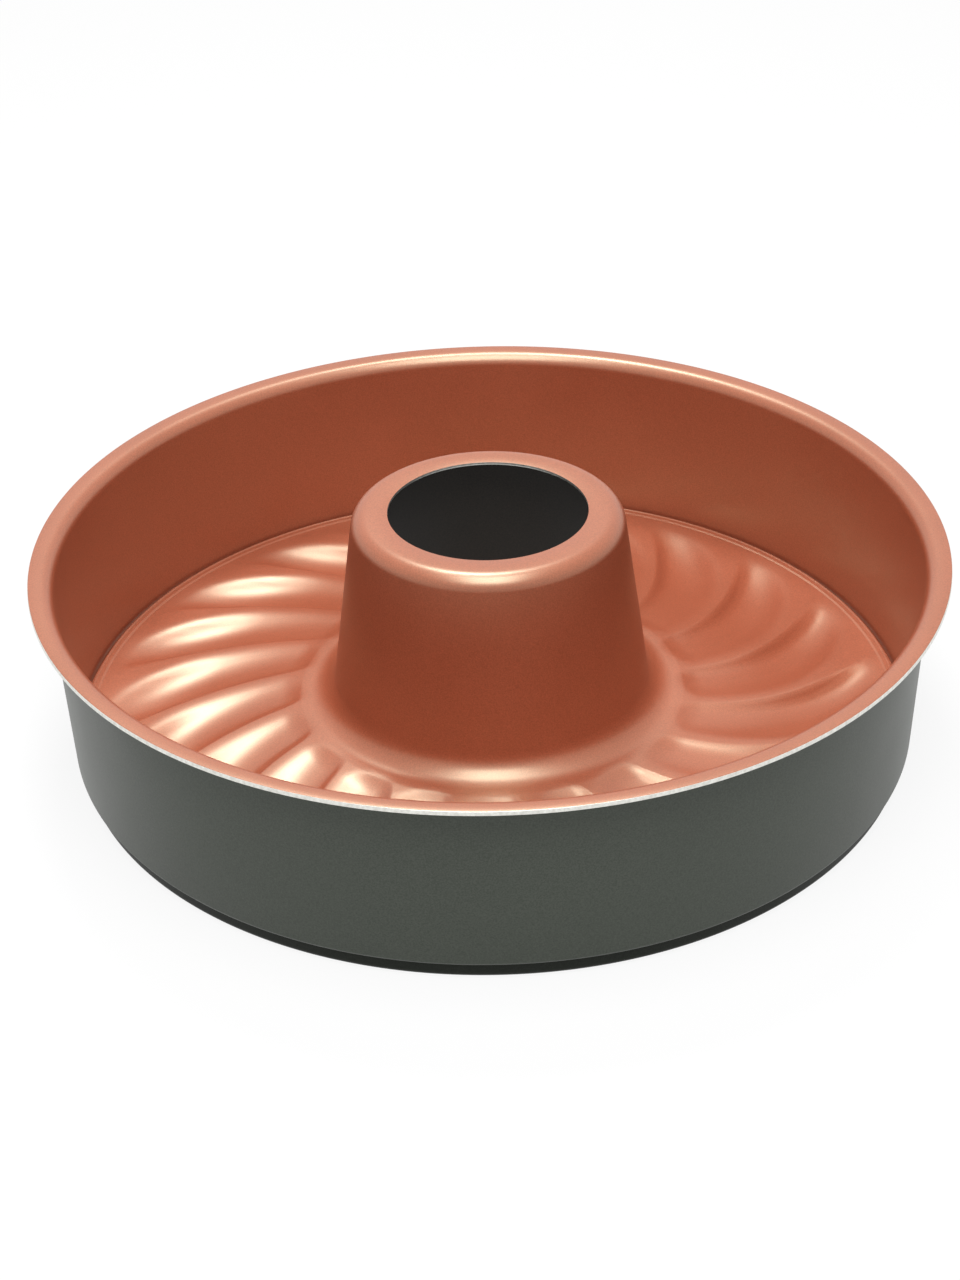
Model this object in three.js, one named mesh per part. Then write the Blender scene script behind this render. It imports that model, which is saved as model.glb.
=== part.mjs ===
// Loose-base ring cake pan, in millimetres, +Z up.
// The origin is on the axis, in the plane that the pan stands on.
// Two drawn-sheet pieces: a side ring with a turned-in foot and a flared lip,
// and a lift-out base with spiral flutes and an open centre tube.

import * as THREE from 'three';

// Side ring
const RING_SHEET = 1.4;
const LIP_OUTER_RADIUS = 140;
const RING_HEIGHT = 64;
const WALL_BOTTOM_RADIUS = 131.5; // outer face, where the wall leaves the seat bend
const WALL_DRAFT = THREE.MathUtils.degToRad(2.6);
const LIP_RISE = THREE.MathUtils.degToRad(5); // slope of the flat outer part of the lip
const LIP_BEND_RADIUS = 3.4; // middle of the sheet
const SEAT_HEIGHT = 6.8; // top face of the ledge that carries the base
const SEAT_WIDTH = 0.3; // flat part of that ledge
const SEAT_BEND_RADIUS = 0.85; // middle of the sheet, both bends of the ledge
const FOOT_BEND_RADIUS = 1.2;
const FOOT_TURN_IN = 2.6; // flat part of the foot

// Lift-out base
const BASE_SHEET = 0.8;
const BASE_WALL_CLEARANCE = 1.0; // between the base's rim and the ring's wall
const BASE_SEAT_CLEARANCE = 0.3; // between the base's rim and the ring's ledge
const BEAD_RADIUS = 1.0; // rolled rim, outer face
const BEAD_TURN = Math.PI; // how far the rim curls under
const BEAD_RISE = 0.2; // crown of the bead above the band inside it
const RIM_BAND_WIDTH = 1.2; // from the bead's crown in to the step
const RIM_STEP_RISE = 0.3; // from the flange up to that band
const RIM_STEP_WIDTH = 0.7;
const FLANGE_WIDTH = 3.7; // flat ring between the rim's step and the flutes
const FLUTE_COUNT = 20;
const FLUTE_INNER_RADIUS = 60;
const FLUTE_INNER_DEPTH = 1.2; // below the crests
const FLUTE_OUTER_DEPTH = 6.5;
const FLUTE_DEEPENING = 2; // above 1, a flute deepens more towards its outer end
const FLUTE_LEAN = 0.25; // shift of the floor from mid-flute, where 1 is the next crest
const FLUTE_INNER_END = 7; // radial length of the rounded ends of a flute
const FLUTE_OUTER_END = 20;
const FLUTE_SWEEP = THREE.MathUtils.degToRad(20.7); // turn of a crest from its inner to its outer end
const FLUTE_CURL = 1.25; // above 1, a crest leans over more towards its outer end
const FLUTE_START = THREE.MathUtils.degToRad(7.3); // where the first crest begins
const CREST_RISE = 4.2; // climb of the crests from the flange to the tube
const CREST_RISE_POWER = 2.4;
const TUBE_BOTTOM_RADIUS = 50.2; // outer face, where the cone would meet the inner ring
const TUBE_DRAFT = THREE.MathUtils.degToRad(7.9);
const TUBE_HEIGHT = 75.6; // top of the tube above the ground
const TUBE_FILLET_RADIUS = 8.5;
const TUBE_SHOULDER_RADIUS = 5.2;
const TUBE_HOLE_RADIUS = 30.6;

// Facets
const RING_SEGMENTS = 64;
const FLUTE_SEGMENTS = 5;
const FLUTE_ROWS = 4; // between the rounded ends
const END_ROWS = 2; // on each rounded end
const BEND_STEPS = 2;
const ROUND_STEPS = 4; // larger bends: the lip, the shoulder and the fillet
const BEAD_STEPS = 4;

// Sizes that follow from those above
const SEAT_MIDDLE_HEIGHT = SEAT_HEIGHT - RING_SHEET / 2;
const WALL_START_RADIUS = WALL_BOTTOM_RADIUS - RING_SHEET / 2;
const FOOT_RADIUS = WALL_START_RADIUS - 2 * SEAT_BEND_RADIUS - SEAT_WIDTH;
const LEDGE_INNER_RADIUS = FOOT_RADIUS + SEAT_BEND_RADIUS;
const LEDGE_BEND_HEIGHT = SEAT_MIDDLE_HEIGHT - SEAT_BEND_RADIUS;
const BASE_OUTER_RADIUS = WALL_BOTTOM_RADIUS - RING_SHEET - BASE_WALL_CLEARANCE;
const BEAD_CENTRE_RADIUS = BASE_OUTER_RADIUS - BEAD_RADIUS;
const BEAD_REACH = SEAT_BEND_RADIUS + RING_SHEET / 2 + BASE_SEAT_CLEARANCE + BEAD_RADIUS;
const BEAD_INSET = Math.max(0, LEDGE_INNER_RADIUS - BEAD_CENTRE_RADIUS); // onto the ledge's rounded edge
const BEAD_CENTRE_HEIGHT = LEDGE_BEND_HEIGHT + Math.sqrt(BEAD_REACH ** 2 - BEAD_INSET ** 2);
const RIM_BAND_RADIUS = BEAD_CENTRE_RADIUS - RIM_BAND_WIDTH;
const RIM_BAND_HEIGHT = BEAD_CENTRE_HEIGHT + BEAD_RADIUS - BEAD_RISE;
const FLANGE_HEIGHT = RIM_BAND_HEIGHT - RIM_STEP_RISE;
const FLANGE_OUTER_RADIUS = RIM_BAND_RADIUS - RIM_STEP_WIDTH;
const FLUTE_OUTER_RADIUS = FLANGE_OUTER_RADIUS - FLANGE_WIDTH;
const FLUTE_LENGTH = FLUTE_OUTER_RADIUS - FLUTE_INNER_RADIUS;
const INNER_RING_HEIGHT = FLANGE_HEIGHT + CREST_RISE;

const QUARTER = Math.PI / 2;

// Points along an arc, without its first point. Angles run from +radius towards +Z.
function arc(centreRadius, centreHeight, radius, from, to, steps) {
  const points = [];
  for (let i = 1; i <= steps; i += 1) {
    const angle = from + ((to - from) * i) / steps;
    const across = centreRadius + radius * Math.cos(angle);
    const up = centreHeight + radius * Math.sin(angle);
    points.push(new THREE.Vector2(across, up));
  }
  return points;
}

// A line of points moved sideways by a distance, to the left of its run where that is positive.
function moveSideways(line, distance) {
  return line.map((point, i) => {
    const before = line[Math.max(i - 1, 0)];
    const after = line[Math.min(i + 1, line.length - 1)];
    const normalIn = normalOf(before, point) ?? normalOf(point, after);
    const normalOut = normalOf(point, after) ?? normalIn;
    const normal = normalIn.clone().add(normalOut).normalize();
    return point.clone().addScaledVector(normal, distance / normal.dot(normalIn));
  });
}

function normalOf(from, to) {
  const along = to.clone().sub(from);
  if (along.length() === 0) return null;
  along.normalize();
  return new THREE.Vector2(-along.y, along.x);
}

// Middle line of the ring's sheet, from the foot's inner edge up to the lip's cut edge.
function ringMiddleLine() {
  const footHeight = RING_SHEET / 2;
  const footBendCentre = FOOT_RADIUS - FOOT_BEND_RADIUS;
  const ledgeOuter = LEDGE_INNER_RADIUS + SEAT_WIDTH;
  const upperBend = SEAT_MIDDLE_HEIGHT + SEAT_BEND_RADIUS;

  const line = [new THREE.Vector2(footBendCentre - FOOT_TURN_IN, footHeight)];
  line.push(new THREE.Vector2(footBendCentre, footHeight));
  line.push(...arc(footBendCentre, footHeight + FOOT_BEND_RADIUS, FOOT_BEND_RADIUS, -QUARTER, 0, BEND_STEPS));
  line.push(new THREE.Vector2(FOOT_RADIUS, LEDGE_BEND_HEIGHT));
  line.push(...arc(LEDGE_INNER_RADIUS, LEDGE_BEND_HEIGHT, SEAT_BEND_RADIUS, Math.PI, QUARTER, BEND_STEPS));
  line.push(new THREE.Vector2(ledgeOuter, SEAT_MIDDLE_HEIGHT));
  line.push(...arc(ledgeOuter, upperBend, SEAT_BEND_RADIUS, -QUARTER, -WALL_DRAFT, BEND_STEPS));

  // The lip's bend turns the wall outwards until only the lip's own rise is left.
  const wallStart = line[line.length - 1];
  const lipEndHeight = RING_HEIGHT - (RING_SHEET / 2) * Math.cos(LIP_RISE);
  const bendFrom = Math.PI - WALL_DRAFT;
  const bendTo = QUARTER + LIP_RISE;
  const bendOut = LIP_BEND_RADIUS * (Math.cos(bendTo) - Math.cos(bendFrom));
  const bendUp = LIP_BEND_RADIUS * (Math.sin(bendTo) - Math.sin(bendFrom));
  const lipEndRadius = LIP_OUTER_RADIUS - (RING_SHEET / 2) * Math.sin(LIP_RISE);
  const slope = Math.tan(QUARTER - WALL_DRAFT);
  const rise = Math.tan(LIP_RISE);
  const freeOut = lipEndRadius - wallStart.x - bendOut;
  const freeUp = lipEndHeight - wallStart.y - bendUp;
  const wallOut = (freeUp - freeOut * rise) / (slope - rise);
  const wallEnd = new THREE.Vector2(wallStart.x + wallOut, wallStart.y + wallOut * slope);
  const centreRadius = wallEnd.x - LIP_BEND_RADIUS * Math.cos(bendFrom);
  const centreHeight = wallEnd.y - LIP_BEND_RADIUS * Math.sin(bendFrom);
  line.push(wallEnd);
  line.push(...arc(centreRadius, centreHeight, LIP_BEND_RADIUS, bendFrom, bendTo, ROUND_STEPS));
  line.push(new THREE.Vector2(lipEndRadius, lipEndHeight));
  return line;
}

// Top face of the crests between flutes, and of the plain rings beside them.
function crestHeight(radius) {
  const inward = THREE.MathUtils.clamp((FLUTE_OUTER_RADIUS - radius) / FLUTE_LENGTH, 0, 1);
  return FLANGE_HEIGHT + CREST_RISE * inward ** CREST_RISE_POWER;
}

// Turn of the crests at a radius: each crest runs outwards along a spiral.
function crestTurn(radius) {
  const outward = THREE.MathUtils.clamp((radius - FLUTE_INNER_RADIUS) / FLUTE_LENGTH, 0, 1);
  return FLUTE_START + FLUTE_SWEEP * outward ** FLUTE_CURL;
}

// Depth of a flute below its crests. Across is -1 on one crest, 0 mid-flute, 1 on the next crest.
// The floor leans to the next crest, which leaves a long gentle side and a short steep one.
function fluteDepth(radius, across) {
  const side = across < FLUTE_LEAN ? 1 + FLUTE_LEAN : 1 - FLUTE_LEAN;
  const reach = (across - FLUTE_LEAN) / side;
  const nearInner = Math.max(0, 1 - (radius - FLUTE_INNER_RADIUS) / FLUTE_INNER_END);
  const nearOuter = Math.max(0, 1 - (FLUTE_OUTER_RADIUS - radius) / FLUTE_OUTER_END);
  const hollow = 1 - reach ** 2 - nearInner ** 2 - nearOuter ** 2;
  const outward = ((radius - FLUTE_INNER_RADIUS) / FLUTE_LENGTH) ** FLUTE_DEEPENING;
  const depth = THREE.MathUtils.lerp(FLUTE_INNER_DEPTH, FLUTE_OUTER_DEPTH, outward);
  return depth * Math.max(0, hollow);
}

// Outline of the tube and its shoulder on the top face, from the hole's edge down to the fillet.
function tubeFace() {
  const lean = TUBE_DRAFT;
  const shoulderCentreHeight = TUBE_HEIGHT - TUBE_SHOULDER_RADIUS;
  const coneAt = (height) => TUBE_BOTTOM_RADIUS - (height - INNER_RING_HEIGHT) * Math.tan(lean);
  const shoulderCentre = coneAt(shoulderCentreHeight) - TUBE_SHOULDER_RADIUS / Math.cos(lean);
  const filletCentreHeight = INNER_RING_HEIGHT + TUBE_FILLET_RADIUS;
  const filletCentre = coneAt(filletCentreHeight) + TUBE_FILLET_RADIUS / Math.cos(lean);

  const face = [new THREE.Vector2(TUBE_HOLE_RADIUS, TUBE_HEIGHT)];
  face.push(new THREE.Vector2(shoulderCentre, TUBE_HEIGHT));
  face.push(...arc(shoulderCentre, shoulderCentreHeight, TUBE_SHOULDER_RADIUS, QUARTER, lean, ROUND_STEPS));
  const filletFrom = Math.PI + lean;
  const filletTo = Math.PI + QUARTER;
  face.push(...arc(filletCentre, filletCentreHeight, TUBE_FILLET_RADIUS, filletFrom, filletFrom, 1));
  face.push(...arc(filletCentre, filletCentreHeight, TUBE_FILLET_RADIUS, filletFrom, filletTo, ROUND_STEPS));
  return face;
}

// The rolled rim on the outer edge of the flange, seen as the top face of the sheet.
function rimFace() {
  const face = [new THREE.Vector2(FLANGE_OUTER_RADIUS, FLANGE_HEIGHT)];
  face.push(new THREE.Vector2(RIM_BAND_RADIUS, RIM_BAND_HEIGHT));
  face.push(new THREE.Vector2(BEAD_CENTRE_RADIUS, BEAD_CENTRE_HEIGHT + BEAD_RADIUS));
  const curlTo = QUARTER - BEAD_TURN;
  face.push(...arc(BEAD_CENTRE_RADIUS, BEAD_CENTRE_HEIGHT, BEAD_RADIUS, QUARTER, curlTo, BEAD_STEPS));
  return face;
}

// The fluted zone on the top face, as the crests run. Its rows lie closer on the rounded ends.
function crestFace() {
  const innerEnd = FLUTE_INNER_RADIUS + FLUTE_INNER_END;
  const outerEnd = FLUTE_OUTER_RADIUS - FLUTE_OUTER_END;
  const stretches = [
    [FLUTE_INNER_RADIUS, innerEnd, END_ROWS],
    [innerEnd, outerEnd, FLUTE_ROWS],
    [outerEnd, FLUTE_OUTER_RADIUS, END_ROWS],
  ];
  const face = [new THREE.Vector2(FLUTE_INNER_RADIUS, crestHeight(FLUTE_INNER_RADIUS))];
  for (const [from, to, rows] of stretches) {
    for (let i = 1; i <= rows; i += 1) {
      const radius = THREE.MathUtils.lerp(from, to, i / rows);
      face.push(new THREE.Vector2(radius, crestHeight(radius)));
    }
  }
  return face;
}

// Closed outline of the base's sheet: its top face out to the rim, then its underside back to the hole.
function baseOutline() {
  const top = [...tubeFace(), ...crestFace(), ...rimFace()];
  const under = moveSideways(top, -BASE_SHEET);
  return [...top, ...under.reverse()];
}

// A revolve whose rings turn with the crests and sink into the flutes.
function flutedRevolve(outline) {
  const steps = FLUTE_COUNT * FLUTE_SEGMENTS;
  const positions = [];
  for (let j = 0; j < steps; j += 1) {
    const across = ((j % FLUTE_SEGMENTS) / FLUTE_SEGMENTS) * 2 - 1;
    for (const point of outline) {
      const angle = (2 * Math.PI * j) / steps + crestTurn(point.x);
      const inFlutes = point.x > FLUTE_INNER_RADIUS && point.x < FLUTE_OUTER_RADIUS;
      const sink = inFlutes ? fluteDepth(point.x, across) : 0;
      positions.push(point.x * Math.cos(angle), point.x * Math.sin(angle), point.y - sink);
    }
  }
  const count = outline.length;
  const index = [];
  for (let j = 0; j < steps; j += 1) {
    const here = j * count;
    const next = ((j + 1) % steps) * count;
    for (let i = 0; i < count; i += 1) {
      const after = (i + 1) % count;
      index.push(here + i, here + after, next + i);
      index.push(here + after, next + after, next + i);
    }
  }
  const geometry = new THREE.BufferGeometry();
  geometry.setAttribute('position', new THREE.Float32BufferAttribute(positions, 3));
  geometry.setIndex(index);
  return geometry;
}

function sideRing() {
  const middle = ringMiddleLine();
  const outside = moveSideways(middle, -RING_SHEET / 2);
  const inside = moveSideways(middle, RING_SHEET / 2);
  const outline = [...outside, ...inside.reverse()];
  outline.push(outline[0].clone());
  const geometry = new THREE.LatheGeometry(outline, RING_SEGMENTS);
  geometry.rotateX(Math.PI / 2);
  const material = new THREE.MeshStandardMaterial({ color: 0x4b4e4a, metalness: 0.4, roughness: 0.5 });
  const mesh = new THREE.Mesh(geometry, material);
  mesh.name = 'side_ring';
  return mesh;
}

function tubeBase() {
  const geometry = flutedRevolve(baseOutline());
  const material = new THREE.MeshStandardMaterial({ color: 0xb8684b, metalness: 0.6, roughness: 0.35 });
  const mesh = new THREE.Mesh(geometry, material);
  mesh.name = 'tube_base';
  return mesh;
}

const pan = new THREE.Group();
pan.add(sideRing());
pan.add(tubeBase());

export default pan;
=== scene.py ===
"""A loose-base ring cake pan: a coated side ring, and a lift-out fluted base with a centre tube."""

import math

import bmesh
import bpy
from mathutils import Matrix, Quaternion, Vector


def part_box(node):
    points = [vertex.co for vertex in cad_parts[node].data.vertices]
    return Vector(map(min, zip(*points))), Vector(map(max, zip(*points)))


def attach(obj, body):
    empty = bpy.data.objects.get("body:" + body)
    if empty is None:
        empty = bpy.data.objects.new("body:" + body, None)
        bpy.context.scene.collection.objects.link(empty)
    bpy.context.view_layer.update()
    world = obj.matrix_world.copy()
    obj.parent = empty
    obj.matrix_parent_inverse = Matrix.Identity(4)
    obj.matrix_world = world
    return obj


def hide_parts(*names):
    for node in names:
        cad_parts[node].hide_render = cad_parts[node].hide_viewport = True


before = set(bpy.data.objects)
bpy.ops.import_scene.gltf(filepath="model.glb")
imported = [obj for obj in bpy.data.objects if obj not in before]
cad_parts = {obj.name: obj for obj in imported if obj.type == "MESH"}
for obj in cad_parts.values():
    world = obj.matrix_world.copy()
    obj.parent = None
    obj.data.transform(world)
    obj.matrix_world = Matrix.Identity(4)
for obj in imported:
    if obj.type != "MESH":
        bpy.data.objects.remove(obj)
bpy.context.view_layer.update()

# Side ring: one drawn metal sheet of about 1.4 mm, a slightly flared wall with a lip turned out on top.
# At the bottom the sheet is jogged in, which leaves a ledge for the base inside and a short foot below.
# It is coated before it is drawn, copper-coloured inside and graphite outside, so its cut edge stays bare.

MM = 0.001
ring_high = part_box("side_ring")[1]
RING_SHEET = 1.4 * MM
LIP_RADIUS = ring_high.x
RING_HEIGHT = ring_high.z
LIP_RISE = math.radians(5)
LIP_BEND = 4.1 * MM
WALL_DRAFT = math.radians(2.6)
WALL_FOOT_RADIUS = 130.09 * MM
LEDGE_HEIGHT = 6.8 * MM
LEDGE_BEND = 1.55 * MM
LEDGE_CORNER = 0.15 * MM
FOOT_INSIDE_RADIUS = 128.1 * MM
FOOT_CORNER = 0.5 * MM
FOOT_EDGE_RADIUS = 125.0 * MM
SHARP = 0
RING_STEPS = 320
BEND_SEGMENTS = 8
MERGE_DISTANCE = 0.001 * MM
CUT_ROUNDING = 0.2 * MM
CUT_SEGMENTS = 2
CUT_ANGLE = math.radians(60)


def round_corner(mesh, corner, radius):
    """Replaces a corner of the line by an arc of that radius."""
    ends = [edge.other_vert(corner).co - corner.co for edge in corner.link_edges]
    half_angle = ends[0].angle(ends[1]) / 2
    bmesh.ops.bevel(mesh, geom=[corner], affect="VERTICES", offset=radius / math.tan(half_angle),
                    offset_type="OFFSET", segments=BEND_SEGMENTS, profile=0.5, material=-1)


def bent_line(corners):
    """A bmesh that holds one open line in the XZ plane, and the vertices that the line was drawn from.

    A corner is its distance from the axis, its height, and the radius of its bend unless it is sharp.
    """
    mesh = bmesh.new()
    verts = [mesh.verts.new((across, 0, up)) for across, up, _ in corners]
    for first, second in zip(verts, verts[1:]):
        mesh.edges.new((first, second))
    for vert, (_, _, bend) in zip(verts, corners):
        if bend != SHARP:
            round_corner(mesh, vert, bend)
    return mesh, verts


def turn_round(mesh, steps):
    """Spins the line once round the pan's axis."""
    bmesh.ops.spin(mesh, geom=mesh.verts[:] + mesh.edges[:], cent=(0, 0, 0), axis=(0, 0, 1),
                   angle=2 * math.pi, steps=steps, use_merge=True)
    bmesh.ops.remove_doubles(mesh, verts=mesh.verts[:], dist=MERGE_DISTANCE)


def face_coated_side(mesh, is_coated_side):
    """Points every face to the copper-coated side of its sheet."""
    bmesh.ops.recalc_face_normals(mesh, faces=mesh.faces[:])
    sample = max(mesh.faces, key=lambda face: face.calc_area())
    if not is_coated_side(sample):
        bmesh.ops.reverse_faces(mesh, faces=mesh.faces[:])


def new_object(name, data):
    """An object in the scene that holds the data."""
    made = bpy.data.objects.new(name, data)
    bpy.context.collection.objects.link(made)
    return made


def sheet_piece(name, mesh, thickness, coats):
    """Makes the piece from its coated face: thickness behind it, the second coat there, bare cut edges."""
    data = bpy.data.meshes.new(name)
    for face in mesh.faces:
        face.smooth = True
    mesh.to_mesh(data)
    mesh.free()
    piece = new_object(name, data)
    for coat in coats:
        data.materials.append(coat)
    wall = piece.modifiers.new("sheet", "SOLIDIFY")
    wall.thickness = thickness
    wall.offset = -1
    wall.use_even_offset = True
    wall.material_offset = 1
    wall.material_offset_rim = 2
    edge = piece.modifiers.new("cut edge", "BEVEL")
    edge.width = CUT_ROUNDING
    edge.segments = CUT_SEGMENTS
    edge.limit_method = "ANGLE"
    edge.angle_limit = CUT_ANGLE
    return piece


def feed(tree, socket, value):
    """Gives a socket a plain value, or links it to the output of another node."""
    if isinstance(value, bpy.types.NodeSocket):
        tree.links.new(value, socket)
    else:
        socket.default_value = value


def noise(tree, place, scale, detail, roughness=0.5):
    """A noise over the place that it is given."""
    texture = tree.nodes.new("ShaderNodeTexNoise")
    feed(tree, texture.inputs["Vector"], place)
    feed(tree, texture.inputs["Scale"], scale)
    feed(tree, texture.inputs["Detail"], detail)
    feed(tree, texture.inputs["Roughness"], roughness)
    return texture.outputs["Fac"]


def combine(tree, operation, *values):
    """The result of one step of arithmetic on sockets and plain numbers."""
    node = tree.nodes.new("ShaderNodeMath")
    node.operation = operation
    for socket, value in zip(node.inputs, values):
        feed(tree, socket, value)
    return node.outputs["Value"]


def spread(tree, value, span, result):
    """A value that goes over the result's range while the given one crosses the span."""
    node = tree.nodes.new("ShaderNodeMapRange")
    feed(tree, node.inputs["Value"], value)
    for end, number in zip(("From Min", "From Max", "To Min", "To Max"), (*span, *result)):
        feed(tree, node.inputs[end], number)
    return node.outputs["Result"]


def two_tones(tree, value, span, dark, light):
    """A colour that goes from dark to light while the value crosses the span."""
    ramp = tree.nodes.new("ShaderNodeValToRGB")
    for stop, place, colour in zip(ramp.color_ramp.elements, span, (dark, light)):
        stop.position = place
        stop.color = (*colour, 1)
    feed(tree, ramp.inputs["Fac"], value)
    return ramp.outputs["Color"]


def ripple(tree, shader, height, depth):
    """Gives a surface its fine relief."""
    bump = tree.nodes.new("ShaderNodeBump")
    feed(tree, bump.inputs["Strength"], 1)
    feed(tree, bump.inputs["Distance"], depth)
    feed(tree, bump.inputs["Height"], height)
    feed(tree, shader.inputs["Normal"], bump.outputs["Normal"])


def new_material(name):
    """A new material, its nodes and its main shader."""
    material = bpy.data.materials.new(name)
    material.use_nodes = True
    return material, material.node_tree, material.node_tree.nodes["Principled BSDF"]


DRIFT_SCALE = 22
DRIFT_DETAIL = 3
FLAKE_DETAIL = 2
FLAKE_ROUGHNESS = 0.7
SKIN_SCALE = 420
SKIN_DETAIL = 2


def coat_grain():
    """Fine grain of a baked-on coat: slow drifts of tone, small flakes, and the skin's tiny waves."""
    group = bpy.data.node_groups.new("coat_grain", "ShaderNodeTree")
    group.interface.new_socket("Flake Size", in_out="INPUT", socket_type="NodeSocketFloat")
    for part in ("Drift", "Flakes", "Skin"):
        group.interface.new_socket(part, in_out="OUTPUT", socket_type="NodeSocketFloat")
    given = group.nodes.new("NodeGroupInput")
    result = group.nodes.new("NodeGroupOutput")
    place = group.nodes.new("ShaderNodeTexCoord").outputs["Object"]
    flake_size = given.outputs["Flake Size"]
    feed(group, result.inputs["Drift"], noise(group, place, DRIFT_SCALE, DRIFT_DETAIL))
    feed(group, result.inputs["Flakes"], noise(group, place, flake_size, FLAKE_DETAIL, FLAKE_ROUGHNESS))
    feed(group, result.inputs["Skin"], noise(group, place, SKIN_SCALE, SKIN_DETAIL))
    return group


grain = coat_grain()
TONE_FROM_FLAKES = 0.88
TONE_FROM_DRIFT = 0.12
TONE_SPAN = (0.35, 0.65)
DRIFT_SPAN = (0.3, 0.7)
GLOSS_DRIFT = 0.03
SKIN_HEIGHT = 0.004 * MM


def coat_material(name, dark, light, roughness, flake_size, flake_relief):
    """A coated-sheet material whose tone, roughness and skin vary with the grain of the coat."""
    material, tree, shader = new_material(name)
    coat = tree.nodes.new("ShaderNodeGroup")
    coat.node_tree = grain
    coat.inputs["Flake Size"].default_value = flake_size
    drift = coat.outputs["Drift"]
    flakes = coat.outputs["Flakes"]

    slow_tone = combine(tree, "MULTIPLY", drift, TONE_FROM_DRIFT)
    tone = combine(tree, "MULTIPLY_ADD", flakes, TONE_FROM_FLAKES, slow_tone)
    feed(tree, shader.inputs["Base Color"], two_tones(tree, tone, TONE_SPAN, dark, light))
    gloss = spread(tree, drift, DRIFT_SPAN, (roughness - GLOSS_DRIFT, roughness + GLOSS_DRIFT))
    feed(tree, shader.inputs["Roughness"], gloss)
    relief = combine(tree, "MULTIPLY_ADD", flakes, flake_relief, coat.outputs["Skin"])
    ripple(tree, shader, relief, SKIN_HEIGHT)
    return material, shader


COPPER_IOR = 2.05
COPPER_SHINE = (1, 0.92, 0.66, 1)
copper_coat, copper_shader = coat_material(
    "copper_coat", dark=(0.245, 0.057, 0.027), light=(0.380, 0.094, 0.047),
    roughness=0.34, flake_size=2400, flake_relief=1.1)
copper_shader.inputs["IOR"].default_value = COPPER_IOR
copper_shader.inputs["Specular Tint"].default_value = COPPER_SHINE

GRAPHITE_METALLIC = 0.1
GRAPHITE_SHEEN = 0.3
# Painted shade on the foot: below the wall's jog the graphite coat's colour and sheen are scaled down to
# FOOT_SHADE, for the shade that the tucked-in foot stands in.
FOOT_TOP = LEDGE_HEIGHT - RING_SHEET
FOOT_BLEND = 0.3 * MM
FOOT_SHADE = 0.35


def paint_foot_shade(tree, shader, sheen):
    """Paints shade into the coat below the wall's jog, where the tucked-in foot gets little light: its
    colour and its sheen are scaled down there.
    """
    place = tree.nodes.new("ShaderNodeTexCoord")
    point = tree.nodes.new("ShaderNodeSeparateXYZ")
    feed(tree, point.inputs["Vector"], place.outputs["Object"])
    blend = (FOOT_TOP - FOOT_BLEND, FOOT_TOP + FOOT_BLEND)
    share = spread(tree, point.outputs["Z"], blend, (FOOT_SHADE, 1))
    tone = tree.nodes.new("ShaderNodeVectorMath")
    tone.operation = "SCALE"
    feed(tree, tone.inputs["Vector"], shader.inputs["Base Color"].links[0].from_socket)
    feed(tree, tone.inputs["Scale"], share)
    feed(tree, shader.inputs["Base Color"], tone.outputs["Vector"])
    feed(tree, shader.inputs["Specular IOR Level"], combine(tree, "MULTIPLY", share, sheen))


graphite_coat, graphite_shader = coat_material(
    "graphite_coat", dark=(0.043, 0.051, 0.039), light=(0.067, 0.077, 0.061),
    roughness=0.40, flake_size=2000, flake_relief=0.5)
graphite_shader.inputs["Metallic"].default_value = GRAPHITE_METALLIC
# The foot below the jog gets painted shade: a darker colour and less sheen.
paint_foot_shade(graphite_coat.node_tree, graphite_shader, GRAPHITE_SHEEN)

CUT_DARK = (0.66, 0.65, 0.60)
CUT_LIGHT = (0.86, 0.86, 0.81)
CUT_METALLIC = 0.9
CUT_ROUGHNESS = 0.34
CUT_MARK_SCALE = 900
CUT_MARK_DETAIL = 3
CUT_MARK_SPAN = (0.3, 0.7)
CUT_MARK_DEPTH = 0.006 * MM
bare_edge, cut_tree, cut_shader = new_material("bare_edge")
cut_place = cut_tree.nodes.new("ShaderNodeTexCoord").outputs["Object"]
cut_marks = noise(cut_tree, cut_place, CUT_MARK_SCALE, CUT_MARK_DETAIL)
cut_colour = two_tones(cut_tree, cut_marks, CUT_MARK_SPAN, CUT_DARK, CUT_LIGHT)
feed(cut_tree, cut_shader.inputs["Base Color"], cut_colour)
ripple(cut_tree, cut_shader, cut_marks, CUT_MARK_DEPTH)
cut_shader.inputs["Metallic"].default_value = CUT_METALLIC
cut_shader.inputs["Roughness"].default_value = CUT_ROUGHNESS

lip_end_radius = LIP_RADIUS - RING_SHEET * math.sin(LIP_RISE)
wall_run = math.tan(WALL_DRAFT)
lip_run = math.tan(LIP_RISE)
lip_corner_radius = WALL_FOOT_RADIUS + (RING_HEIGHT - LEDGE_HEIGHT - lip_end_radius * lip_run) * wall_run
lip_corner_radius /= 1 - lip_run * wall_run
lip_corner_height = RING_HEIGHT - (lip_end_radius - lip_corner_radius) * lip_run
ring_mesh, _ = bent_line([
    (FOOT_EDGE_RADIUS, RING_SHEET, SHARP),
    (FOOT_INSIDE_RADIUS, RING_SHEET, FOOT_CORNER),
    (FOOT_INSIDE_RADIUS, LEDGE_HEIGHT, LEDGE_BEND),
    (WALL_FOOT_RADIUS, LEDGE_HEIGHT, LEDGE_CORNER),
    (lip_corner_radius, lip_corner_height, LIP_BEND),
    (lip_end_radius, RING_HEIGHT, SHARP),
])
turn_round(ring_mesh, RING_STEPS)
face_coated_side(ring_mesh, lambda face: face.normal.dot(face.calc_center_median()) < 0)
ring = sheet_piece("ring_sheet", ring_mesh, RING_SHEET, [copper_coat, graphite_coat, bare_edge])
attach(ring, "ring")
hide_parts("side_ring")

# Lift-out base: one deep-drawn sheet, with a rim rolled under, a flat flange, a ring of spiral flutes with
# narrow crests, and a conical tube that is open at the top. It drops into the ring, and its rim rests on
# the ledge. Its upper face has the ring's copper-coloured coat, and its underside a dark coat, partly its
# own colour and partly painted shade for the inside of the tube.

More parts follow.
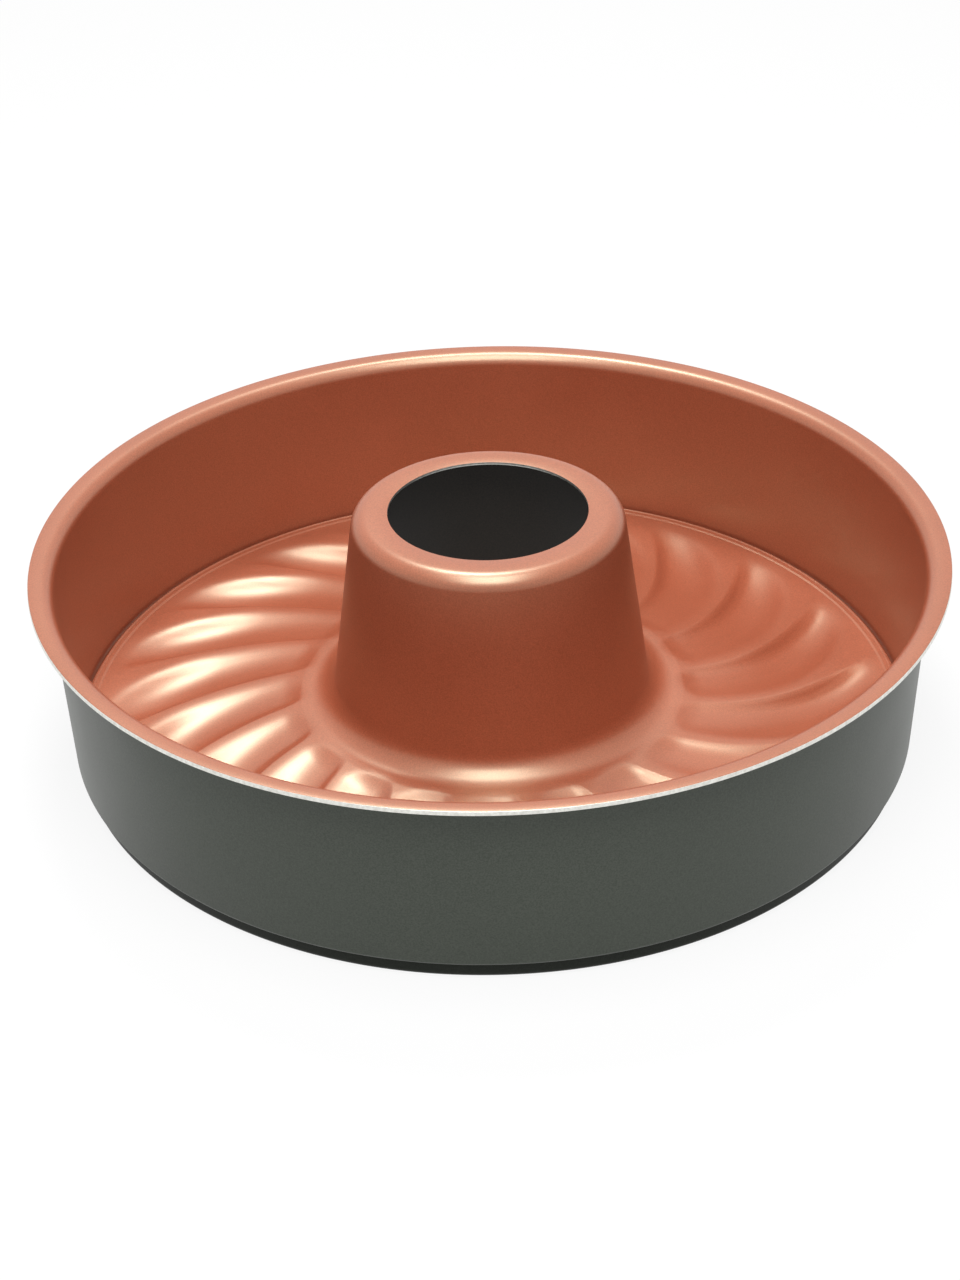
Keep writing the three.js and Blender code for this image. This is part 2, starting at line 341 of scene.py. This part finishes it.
base_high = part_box("tube_base")[1]
BASE_SHEET = 0.8 * MM
HOLE_RADIUS = 30.6 * MM
TUBE_HEIGHT = base_high.z
TUBE_FOOT_RADIUS = 50.2 * MM
TUBE_DRAFT = math.radians(7.9)
TUBE_SHOULDER = 5.2 * MM
TUBE_FILLET = 8.5 * MM
RIM_RADIUS = 129.1 * MM
RIM_CURL = 1.0 * MM
RIM_CURL_BEND = 0.98 * RIM_CURL
RIM_TOP = 8.64 * MM
RIM_EDGE_ROUNDING = 0.4 * MM
RIM_EDGE_WIDTH = 0.6 * MM
RIM_EDGE_RISE = 0.2 * MM
RIM_BAND_WIDTH = 1.4 * MM
RIM_STEP_WIDTH = 0.7 * MM
RIM_STEP_ROUNDING = 0.25 * MM
FLANGE_HEIGHT = 8.14 * MM
FLUTE_COUNT = 20
FLUTE_INNER = 60.0 * MM
FLUTE_OUTER = 122.5 * MM
FLUTE_LENGTH = FLUTE_OUTER - FLUTE_INNER
FLUTE_HALF_TURN = math.pi / FLUTE_COUNT
FLUTE_INNER_DEPTH = 1.2 * MM
FLUTE_OUTER_DEPTH = 6.5 * MM
FLUTE_DEEPENING = 1.3
FLUTE_LEAN = 0.25
FLUTE_INNER_END = 7.0 * MM
FLUTE_OUTER_END = 32.0 * MM
FLUTE_START = math.radians(7.3)
FLUTE_SWEEP = math.radians(20.7)
FLUTE_CURL = 1.25
CREST_RISE = 4.2 * MM
CREST_RISE_POWER = 2.4
LONG_SIDE_POWER = 2.0
SHORT_SIDE_POWER = 5.0
LONG_SIDE_ROUNDING = 0.5
SHORT_SIDE_ROUNDING = 0.15
END_SOFTNESS = 0.15
FLUTE_STEPS = 16
FLUTE_ROWS = 64
ROUND_OFF = 1e-6


def outward_share(radius):
    """How far out along the flutes a radius is, from 0 at their inner ends to 1 at their outer ends."""
    return min(max((radius - FLUTE_INNER) / FLUTE_LENGTH, 0), 1)


def crest_rise(radius):
    """Height of the crests above the flange: they climb towards the tube."""
    return CREST_RISE * (1 - outward_share(radius)) ** CREST_RISE_POWER


def crest_turn(radius):
    """How far round the pan the crests have swept at a radius."""
    return FLUTE_START + FLUTE_SWEEP * outward_share(radius) ** FLUTE_CURL


def hollow_across(across):
    """Depth across a flute, from 1 at its floor to 0 at its crests. The floor lies nearer to one crest."""
    long_side = across < FLUTE_LEAN
    side = 1 + FLUTE_LEAN if long_side else 1 - FLUTE_LEAN
    power = LONG_SIDE_POWER if long_side else SHORT_SIDE_POWER
    rounding = (LONG_SIDE_ROUNDING if long_side else SHORT_SIDE_ROUNDING) / side
    reach = abs(across - FLUTE_LEAN) / side
    sharp = 1 - rounding
    slope = power / (sharp + rounding * power / 2)
    if reach < sharp:
        return 1 - slope / power * sharp * (reach / sharp) ** power
    return slope * (1 - reach) ** 2 / (2 * rounding)


def flute_depth(radius, across):
    """Depth of a flute: it grows outwards, and runs out in a round end at the tube and at the flange."""
    near_inner = max(0, 1 - (radius - FLUTE_INNER) / FLUTE_INNER_END)
    near_outer = max(0, 1 - (FLUTE_OUTER - radius) / FLUTE_OUTER_END)
    hollow = hollow_across(across) - near_inner ** 2 - near_outer ** 2
    soft = (hollow + math.hypot(hollow, END_SOFTNESS)) / 2
    deepening = (FLUTE_OUTER_DEPTH - FLUTE_INNER_DEPTH) * outward_share(radius) ** FLUTE_DEEPENING
    return soft * (FLUTE_INNER_DEPTH + deepening)


# The underside coat is set darker and browner than the ring's graphite, and with less sheen: partly the
# coat's own colour, partly painted shade for the inside of the tube, whose gloss would otherwise show the
# lit white floor.
under_coat, under_shader = coat_material(
    "under_coat", dark=(0.014, 0.010, 0.007), light=(0.026, 0.018, 0.012),
    roughness=0.55, flake_size=2000, flake_relief=0.5)
UNDER_SHEEN = 0.25
under_shader.inputs["Specular IOR Level"].default_value = UNDER_SHEEN

inner_ring_height = FLANGE_HEIGHT + CREST_RISE
tube_top_radius = TUBE_FOOT_RADIUS - (TUBE_HEIGHT - inner_ring_height) * math.tan(TUBE_DRAFT)
rim_bottom = RIM_TOP - 2 * RIM_CURL
rim_edge = RIM_RADIUS - RIM_EDGE_WIDTH
rim_band_height = RIM_TOP - RIM_EDGE_RISE
rim_band_outer = rim_edge - RIM_EDGE_RISE
rim_band_inner = rim_band_outer - RIM_BAND_WIDTH
tube_corners = [
    (HOLE_RADIUS, TUBE_HEIGHT, SHARP),
    (tube_top_radius, TUBE_HEIGHT, TUBE_SHOULDER),
    (TUBE_FOOT_RADIUS, inner_ring_height, TUBE_FILLET),
]
flute_ends = [
    (FLUTE_INNER, inner_ring_height, SHARP),
    (FLUTE_OUTER, FLANGE_HEIGHT, SHARP),
]
rim_corners = [
    (rim_band_inner - RIM_STEP_WIDTH, FLANGE_HEIGHT, RIM_STEP_ROUNDING),
    (rim_band_inner, rim_band_height, RIM_STEP_ROUNDING),
    (rim_band_outer, rim_band_height, RIM_STEP_ROUNDING),
    (rim_edge, RIM_TOP, RIM_STEP_ROUNDING),
    (RIM_RADIUS, RIM_TOP, RIM_EDGE_ROUNDING),
    (RIM_RADIUS, rim_bottom, RIM_CURL_BEND),
    (RIM_RADIUS - RIM_CURL, rim_bottom, SHARP),
]
base_mesh, base_line = bent_line(tube_corners + flute_ends + rim_corners)
flute_start = len(tube_corners)
fluted_edge = base_mesh.edges.get(base_line[flute_start:flute_start + len(flute_ends)])
bmesh.ops.subdivide_edges(base_mesh, edges=[fluted_edge], cuts=FLUTE_ROWS - 1)
turn_round(base_mesh, FLUTE_COUNT * FLUTE_STEPS)

# Every ring of vertices turns with the crests, its vertices draw closer to them, and the fluted ones sink.
for vert in base_mesh.verts:
    radius = vert.co.xy.length
    flutes_round = math.atan2(vert.co.y, vert.co.x) / (2 * FLUTE_HALF_TURN)
    flute = math.floor(flutes_round + ROUND_OFF)
    across = math.sin(((flutes_round - flute) * 2 - 1) * math.pi / 2)
    angle = (2 * flute + 1 + across) * FLUTE_HALF_TURN + crest_turn(radius)
    height = vert.co.z
    if FLUTE_INNER - ROUND_OFF < radius < FLUTE_OUTER + ROUND_OFF:
        height = FLANGE_HEIGHT + crest_rise(radius) - flute_depth(radius, across)
    vert.co = Vector((radius * math.cos(angle), radius * math.sin(angle), height))

face_coated_side(base_mesh, lambda face: face.normal.z > 0)
base = sheet_piece("base_sheet", base_mesh, BASE_SHEET, [copper_coat, under_coat, bare_edge])
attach(base, "base")
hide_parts("tube_base")

# Floor: a wide, flat, pale ground that the pan stands on.
# It shows white to the camera and in gloss, and keeps a faint shadow of the pan.

FLOOR_SIZE = 30.0
FLOOR_GREY = 0.85
FLOOR_ROUGHNESS = 0.8
FLOOR_SHADOW = 0.1
WHITE = (1, 1, 1, 1)


def seen_directly(tree):
    """A mask of the rays that show a surface as it is: from the camera, off gloss and through glass."""
    path = tree.nodes.new("ShaderNodeLightPath")
    seen = path.outputs["Is Camera Ray"]
    for ray in ("Is Glossy Ray", "Is Transmission Ray"):
        seen = combine(tree, "MAXIMUM", seen, path.outputs[ray])
    return seen


def show_white(tree, share, plain, white, out):
    """Shows the white in place of the plain shader, in that share."""
    mix = tree.nodes.new("ShaderNodeMixShader")
    feed(tree, mix.inputs["Fac"], share)
    feed(tree, mix.inputs[1], plain)
    feed(tree, mix.inputs[2], white)
    feed(tree, out.inputs["Surface"], mix.outputs["Shader"])


floor_mesh = bmesh.new()
bmesh.ops.create_grid(floor_mesh, x_segments=1, y_segments=1, size=FLOOR_SIZE / 2)
floor_data = bpy.data.meshes.new("floor")
floor_mesh.to_mesh(floor_data)
floor_mesh.free()
floor = new_object("floor", floor_data)

floor_paint, floor_tree, floor_shader = new_material("floor_paint")
floor_shader.inputs["Base Color"].default_value = (FLOOR_GREY, FLOOR_GREY, FLOOR_GREY, 1)
floor_shader.inputs["Roughness"].default_value = FLOOR_ROUGHNESS
floor_white = floor_tree.nodes.new("ShaderNodeEmission")
floor_white.inputs["Color"].default_value = WHITE
floor_white.inputs["Strength"].default_value = 1
floor_share = combine(floor_tree, "MULTIPLY", seen_directly(floor_tree), 1 - FLOOR_SHADOW)
show_white(floor_tree, floor_share, floor_shader.outputs["BSDF"], floor_white.outputs["Emission"],
           floor_tree.nodes["Material Output"])
floor_data.materials.append(floor_paint)

# Light: three soft boxes. One stands behind the pan, a little to its left, and whitens the left flutes and
# the rear lip. One hangs overhead for the tube's shoulder and fillet, and one in front for the walls.
# The room around adds little.

ROOM_LEVEL = 0.08
SOFT_BOXES = {
    "back_box": {"place": Vector((-0.08, 0.5, 1.15)), "width": 0.36, "length": 0.3, "power": 9.5},
    "top_box": {"place": Vector((0, -0.15, 1.25)), "width": 0.5, "length": 0.4, "power": 7},
    "front_box": {"place": Vector((0, -0.6, 1.1)), "width": 0.6, "length": 0.5, "power": 9.5},
}

room = bpy.data.worlds.new("room")
bpy.context.scene.world = room
room.use_nodes = True
room_tree = room.node_tree
room_light = room_tree.nodes["Background"]
room_light.inputs["Color"].default_value = WHITE
room_light.inputs["Strength"].default_value = ROOM_LEVEL
room_white = room_tree.nodes.new("ShaderNodeBackground")
room_white.inputs["Color"].default_value = WHITE
room_white.inputs["Strength"].default_value = 1
show_white(room_tree, seen_directly(room_tree), room_light.outputs["Background"],
           room_white.outputs["Background"], room_tree.nodes["World Output"])

for name, box in SOFT_BOXES.items():
    soft_box_data = bpy.data.lights.new(name, "AREA")
    soft_box_data.shape = "RECTANGLE"
    soft_box_data.size = box["width"]
    soft_box_data.size_y = box["length"]
    soft_box_data.energy = box["power"]
    soft_box = new_object(name, soft_box_data)
    soft_box.location = box["place"]
    soft_box.rotation_mode = "QUATERNION"
    soft_box.rotation_quaternion = (-box["place"]).to_track_quat("-Z", "Y")

# Camera: it stands in front of the pan and looks down into it, about a third of a right angle below
# the level, and is tilted a little to the side.

CAMERA_PLACE = Vector((0, -0.6644, 0.4441))
CAMERA_AIM = Vector((-0.0034, 0, 0.0290))
CAMERA_ROLL = -0.0258
CAMERA_LENS = 70.3
CAMERA_SENSOR = 36

camera_data = bpy.data.cameras.new("camera")
camera_data.lens = CAMERA_LENS
camera_data.sensor_width = CAMERA_SENSOR
camera = new_object("camera", camera_data)
camera.location = CAMERA_PLACE
looking = (CAMERA_AIM - CAMERA_PLACE).to_track_quat("-Z", "Y")
camera.rotation_mode = "QUATERNION"
camera.rotation_quaternion = looking @ Quaternion((0, 0, 1), CAMERA_ROLL)
bpy.context.scene.camera = camera
bpy.context.scene.view_settings.view_transform = "Standard"
